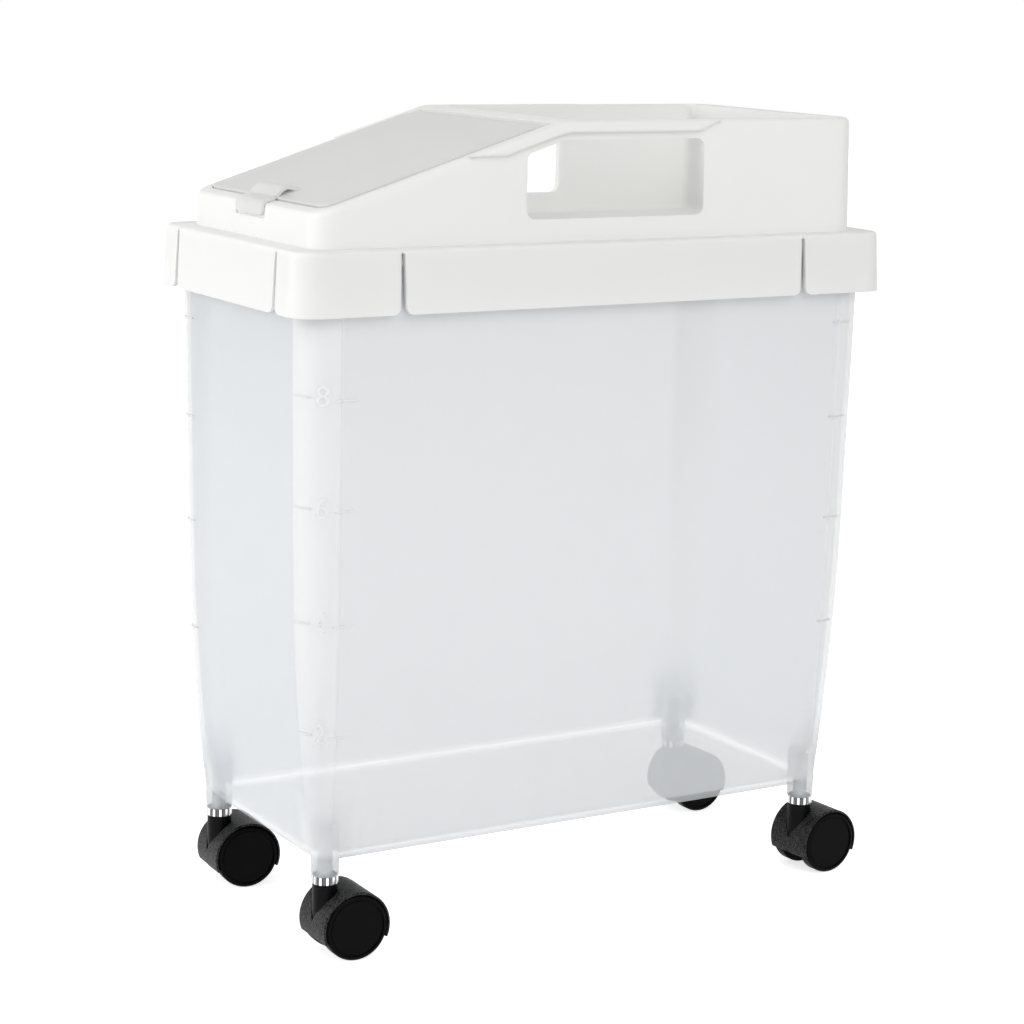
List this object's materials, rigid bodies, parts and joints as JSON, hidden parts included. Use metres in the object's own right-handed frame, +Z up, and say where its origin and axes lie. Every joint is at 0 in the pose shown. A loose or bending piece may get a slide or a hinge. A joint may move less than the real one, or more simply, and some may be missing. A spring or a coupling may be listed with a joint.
{
  "type": "rolling pet food container",
  "caption": "Tall frosted bin for dry pet food on swivel casters, with a lift-off white lid that has a sloped flip lid, a rear tray and hand-hold windows.",
  "frame": {"origin": "on the floor, under the middle of the whole outline", "axes": "+Z up; the sloped flip lid faces -Y and the rear tray is towards +Y; +X is the right side seen from the front"},
  "size_m": [0.1976, 0.417, 0.4904],
  "materials": {
    "frosted_bin": "frosted translucent",
    "white_lid": "satin white",
    "frosted_flip_lid": "frosted translucent",
    "soft_seal": "soft, pale",
    "plated_steel": "bright plated",
    "spring_steel": "plain",
    "axle_steel": "plain",
    "caster_black": "fine grained black",
    "wheel_black": "smooth black"
  },
  "bodies": {
    "bin": {"bin": "frosted_bin", "front_left_stem": "plated_steel", "front_left_collar": "plated_steel", "front_left_grip_ring": "spring_steel", "front_right_stem": "plated_steel", "front_right_collar": "plated_steel", "front_right_grip_ring": "spring_steel", "rear_left_stem": "plated_steel", "rear_left_collar": "plated_steel", "rear_left_grip_ring": "spring_steel", "rear_right_stem": "plated_steel", "rear_right_collar": "plated_steel", "rear_right_grip_ring": "spring_steel"},
    "lid": {"lid": "white_lid", "lid_seal": "soft_seal"},
    "flip_lid": {"flip_lid": "frosted_flip_lid", "flip_lid_seal": "soft_seal"},
    "front_left_caster": {"front_left_hood": "caster_black", "front_left_axle": "axle_steel"},
    "front_left_left_wheel": {"front_left_left_wheel": "wheel_black"},
    "front_left_right_wheel": {"front_left_right_wheel": "wheel_black"},
    "front_right_caster": {"front_right_hood": "caster_black", "front_right_axle": "axle_steel"},
    "front_right_left_wheel": {"front_right_left_wheel": "wheel_black"},
    "front_right_right_wheel": {"front_right_right_wheel": "wheel_black"},
    "rear_left_caster": {"rear_left_hood": "caster_black", "rear_left_axle": "axle_steel"},
    "rear_left_left_wheel": {"rear_left_left_wheel": "wheel_black"},
    "rear_left_right_wheel": {"rear_left_right_wheel": "wheel_black"},
    "rear_right_caster": {"rear_right_hood": "caster_black", "rear_right_axle": "axle_steel"},
    "rear_right_left_wheel": {"rear_right_left_wheel": "wheel_black"},
    "rear_right_right_wheel": {"rear_right_right_wheel": "wheel_black"}
  },
  "joints": [
    {"name": "lid_lift", "type": "slide", "parent": "bin", "child": "lid", "axis": [0, 0, 1], "range_m": [0, 0.15]},
    {"name": "flip_lid_hinge", "type": "hinge", "parent": "lid", "child": "flip_lid", "pos_m": [0, -0.03852, 0.48409], "axis": [-1, 0, 0], "range_deg": [0, 110]},
    {"name": "front_left_swivel", "type": "hinge", "parent": "bin", "child": "front_left_caster", "pos_m": [-0.0738, -0.17571, 0.045], "axis": [0, 0, 1], "continuous": true},
    {"name": "front_left_left_wheel_spin", "type": "hinge", "parent": "front_left_caster", "child": "front_left_left_wheel", "pos_m": [-0.07287, -0.16244, 0.02], "axis": [0.9976, -0.0698, 0], "continuous": true},
    {"name": "front_left_right_wheel_spin", "type": "hinge", "parent": "front_left_caster", "child": "front_left_right_wheel", "pos_m": [-0.07287, -0.16244, 0.02], "axis": [0.9976, -0.0698, 0], "continuous": true},
    {"name": "front_right_swivel", "type": "hinge", "parent": "bin", "child": "front_right_caster", "pos_m": [0.0738, -0.17571, 0.045], "axis": [0, 0, 1], "continuous": true},
    {"name": "front_right_left_wheel_spin", "type": "hinge", "parent": "front_right_caster", "child": "front_right_left_wheel", "pos_m": [0.07403, -0.16241, 0.02], "axis": [0.9998, -0.0175, 0], "continuous": true},
    {"name": "front_right_right_wheel_spin", "type": "hinge", "parent": "front_right_caster", "child": "front_right_right_wheel", "pos_m": [0.07403, -0.16241, 0.02], "axis": [0.9998, -0.0175, 0], "continuous": true},
    {"name": "rear_left_swivel", "type": "hinge", "parent": "bin", "child": "rear_left_caster", "pos_m": [-0.0738, 0.17229, 0.045], "axis": [0, 0, 1], "continuous": true},
    {"name": "rear_left_left_wheel_spin", "type": "hinge", "parent": "rear_left_caster", "child": "rear_left_left_wheel", "pos_m": [-0.07426, 0.18558, 0.02], "axis": [0.9994, 0.0349, 0], "continuous": true},
    {"name": "rear_left_right_wheel_spin", "type": "hinge", "parent": "rear_left_caster", "child": "rear_left_right_wheel", "pos_m": [-0.07426, 0.18558, 0.02], "axis": [0.9994, 0.0349, 0], "continuous": true},
    {"name": "rear_right_swivel", "type": "hinge", "parent": "bin", "child": "rear_right_caster", "pos_m": [0.0738, 0.17229, 0.045], "axis": [0, 0, 1], "continuous": true},
    {"name": "rear_right_left_wheel_spin", "type": "hinge", "parent": "rear_right_caster", "child": "rear_right_left_wheel", "pos_m": [0.07287, 0.18556, 0.02], "axis": [0.9976, 0.0698, 0], "continuous": true},
    {"name": "rear_right_right_wheel_spin", "type": "hinge", "parent": "rear_right_caster", "child": "rear_right_right_wheel", "pos_m": [0.07287, 0.18556, 0.02], "axis": [0.9976, 0.0698, 0], "continuous": true}
  ]
}
